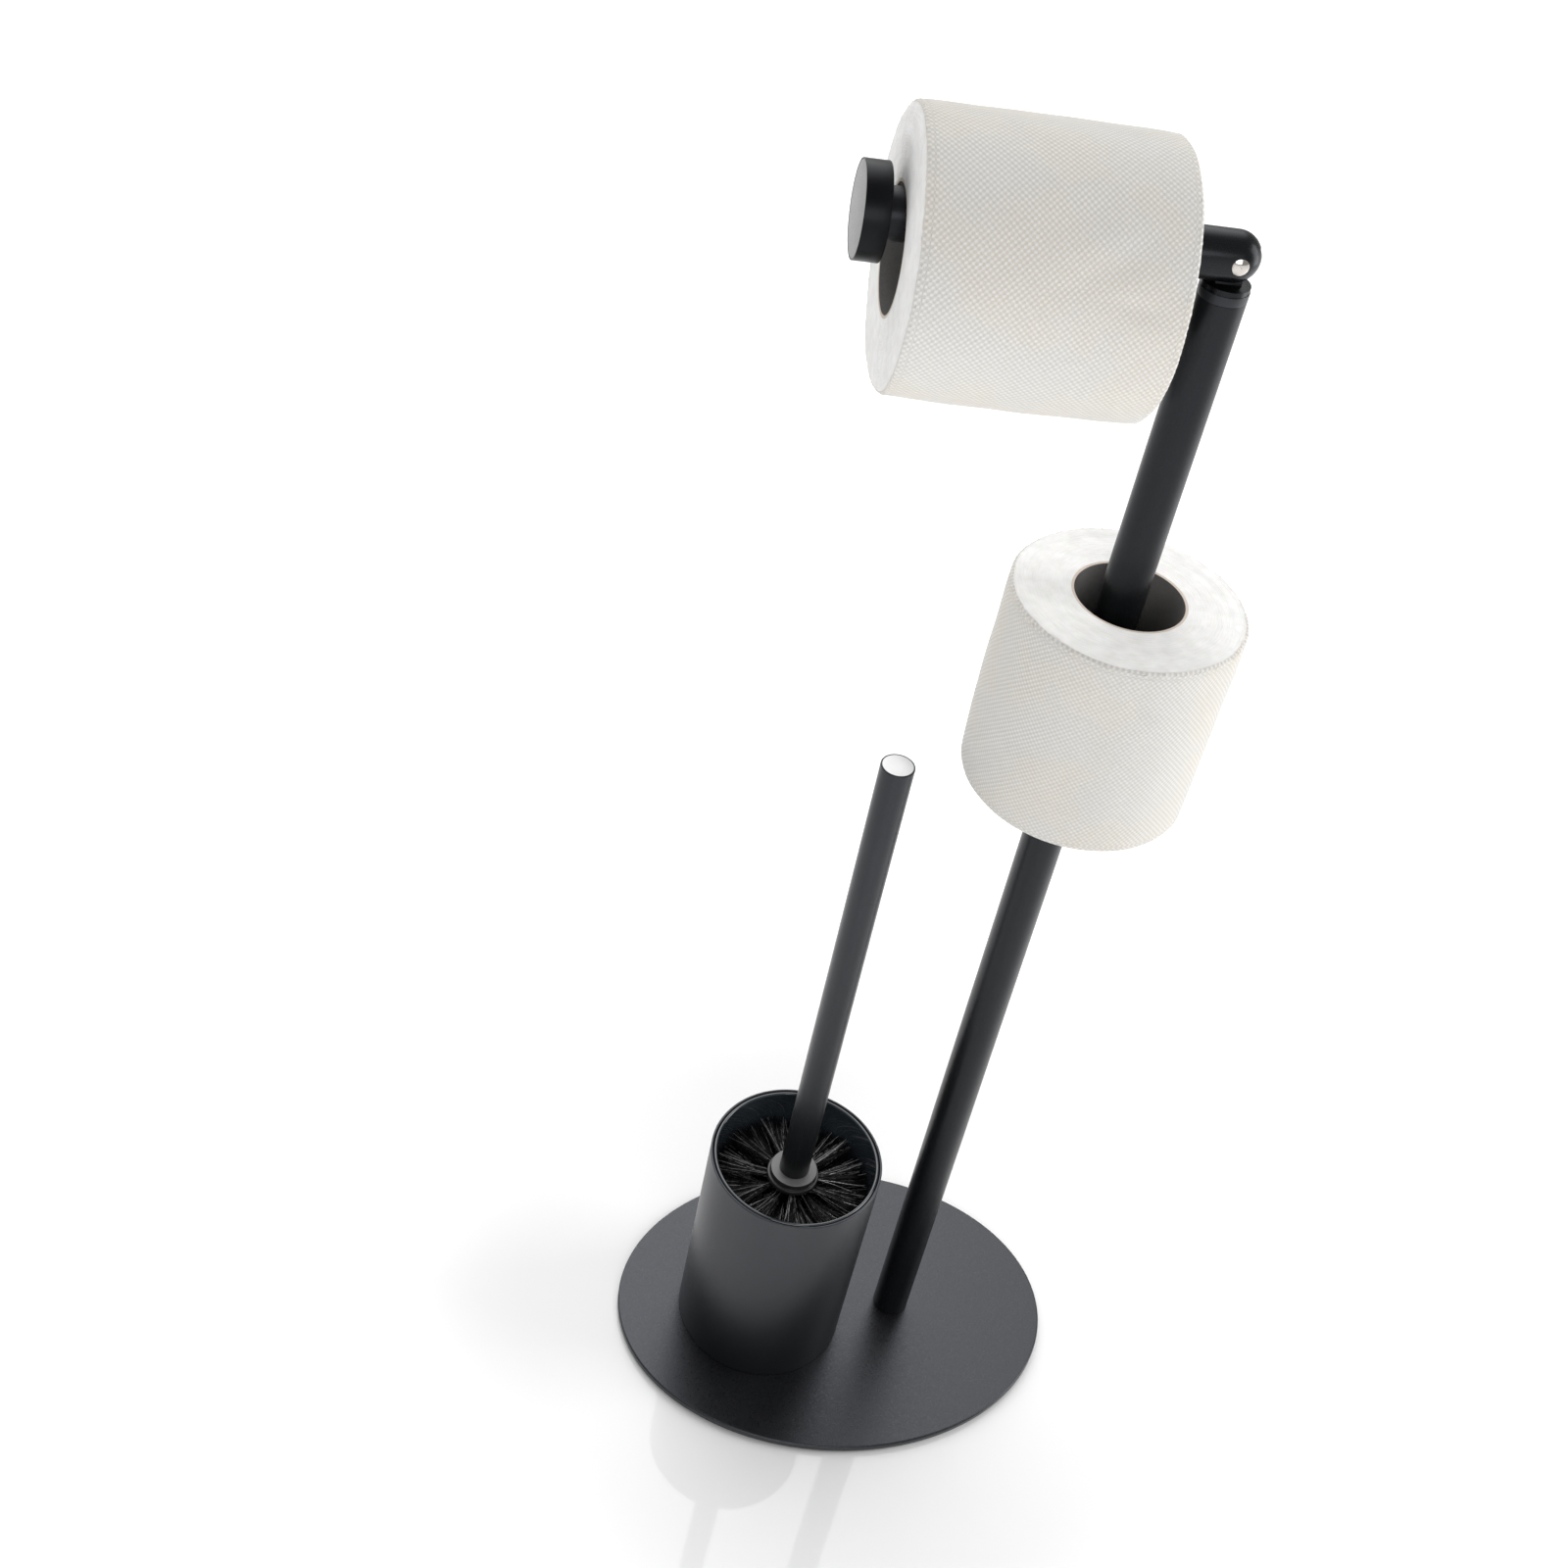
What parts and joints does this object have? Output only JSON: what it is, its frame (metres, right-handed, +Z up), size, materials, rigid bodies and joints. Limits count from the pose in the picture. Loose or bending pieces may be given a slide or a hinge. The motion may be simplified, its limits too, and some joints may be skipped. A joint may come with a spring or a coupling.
{
  "type": "toilet paper holder",
  "caption": "Free-standing toilet roll stand with a fold-up arm, a spare roll rest on the pole and a toilet brush in a holder on an oval base.",
  "frame": {"origin": "centre of the oval base plate, on the floor", "axes": "+Z up along the pole, +X along the long axis of the plate from the brush towards the pole"},
  "size_m": [0.24, 0.18, 0.6912],
  "materials": {
    "plate_powder_coat": "matte fine-textured powder coat",
    "tube_powder_coat": "satin powder coat",
    "head_powder_coat": "satin powder coat",
    "knob_powder_coat": "satin powder coat",
    "holder_powder_coat": "matte powder coat",
    "pad_rubber": "closed-cell foam rubber",
    "zinc_steel": "zinc-plated",
    "satin_steel": "satin",
    "polished_steel": "polished",
    "pin_stainless": "polished",
    "rest_plastic": "matte",
    "core_cardboard": "grey board",
    "roll_paper": "soft embossed tissue",
    "cup_plastic": "semi-gloss",
    "hub_plastic": "satin",
    "bristle_nylon": "black nylon fibres"
  },
  "bodies": {
    "stand": {"floor_pad": "pad_rubber", "base_plate": "plate_powder_coat", "pole_screw": "zinc_steel", "holder_screw": "zinc_steel", "pole_tube": "tube_powder_coat", "pole_foot_plug": "zinc_steel", "pole_head": "head_powder_coat", "spare_roll_rest": "rest_plastic", "rest_grub_screw": "zinc_steel", "brush_holder": "holder_powder_coat", "holder_nut": "zinc_steel"},
    "arm": {"arm_fork": "head_powder_coat", "hinge_pin": "pin_stainless", "arm_tube": "tube_powder_coat", "arm_end_plug": "zinc_steel", "end_knob": "knob_powder_coat", "knob_screw": "zinc_steel", "knob_cover_disc": "satin_steel"},
    "arm_roll": {"arm_roll_core": "core_cardboard", "arm_roll_paper": "roll_paper"},
    "spare_roll": {"spare_roll_core": "core_cardboard", "spare_roll_paper": "roll_paper"},
    "cup": {"inner_cup": "cup_plastic"},
    "brush": {"brush_handle": "tube_powder_coat", "handle_top_disc": "polished_steel", "handle_insert": "zinc_steel", "brush_stud": "zinc_steel", "brush_hub": "hub_plastic", "brush_core": "hub_plastic", "bristles": "bristle_nylon"}
  },
  "joints": [
    {"name": "arm_fold", "type": "hinge", "parent": "stand", "child": "arm", "pos_m": [0.034, 0, 0.653], "axis": [0.0872, 0.9962, 0], "range_deg": [0, 90]},
    {"name": "arm_roll_spin", "type": "hinge", "parent": "arm", "child": "arm_roll", "pos_m": [-0.03987, 0.00646, 0.6397], "axis": [-0.9962, 0.0872, 0], "continuous": true},
    {"name": "spare_roll_lift", "type": "slide", "parent": "stand", "child": "spare_roll", "axis": [0, 0, 1], "range_m": [0, 0.08]},
    {"name": "cup_lift", "type": "slide", "parent": "stand", "child": "cup", "axis": [0, 0, 1], "range_m": [0, 0.135]},
    {"name": "brush_lift", "type": "slide", "parent": "cup", "child": "brush", "axis": [0, 0, 1], "range_m": [0, 0.125]}
  ]
}
